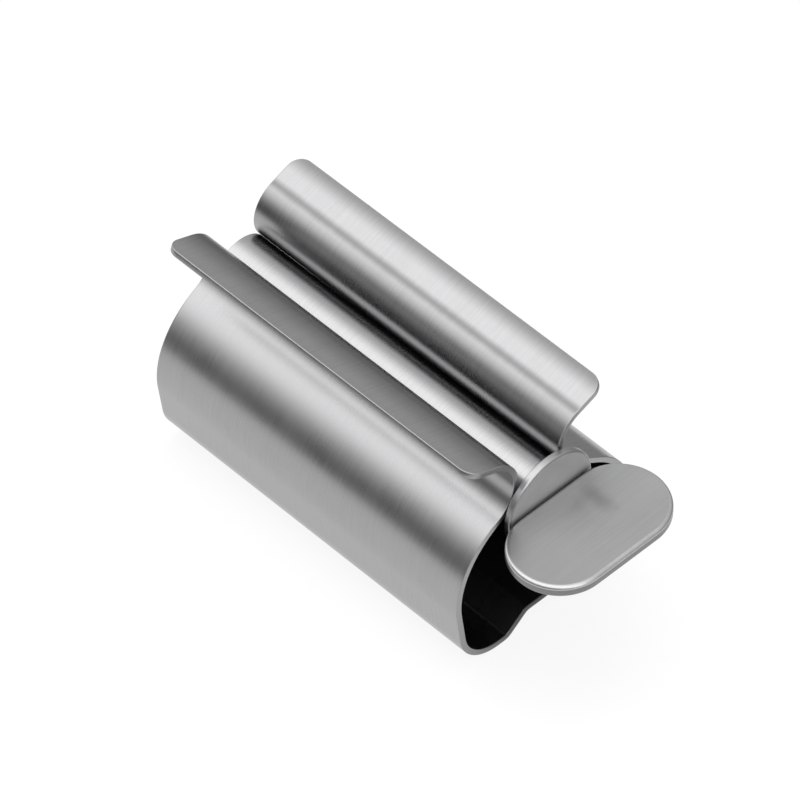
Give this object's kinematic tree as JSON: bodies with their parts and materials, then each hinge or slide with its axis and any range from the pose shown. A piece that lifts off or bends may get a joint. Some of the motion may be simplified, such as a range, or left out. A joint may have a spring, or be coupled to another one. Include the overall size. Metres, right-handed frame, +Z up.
{
  "type": "toothpaste tube squeezer",
  "caption": "Bent sheet steel toothpaste tube squeezer with a slotted winding tube, a stop disc and an oval thumb plate, standing on its base.",
  "frame": {"origin": "middle of the box that holds the whole squeezer, on the plane that its base rests on", "axes": "+X along the winding tube towards the thumb plate, +Y from the front lip to the rear wing, +Z up"},
  "size_m": [0.08, 0.0354, 0.0412],
  "materials": {
    "sheet_steel": "satin, brushed round the bends",
    "tube_steel": "satin, turned",
    "plate_steel": "satin, brushed along its length",
    "weld_steel": "rough"
  },
  "bodies": {
    "housing_body": {"housing": "sheet_steel"},
    "key": {"winding_tube": "tube_steel", "stop_disc": "plate_steel", "thumb_plate": "plate_steel", "weld_tacks": "weld_steel"}
  },
  "joints": [
    {"name": "key_turn", "type": "hinge", "parent": "housing_body", "child": "key", "pos_m": [0, -0.00051, 0.02614], "axis": [1, 0, 0], "continuous": true}
  ]
}
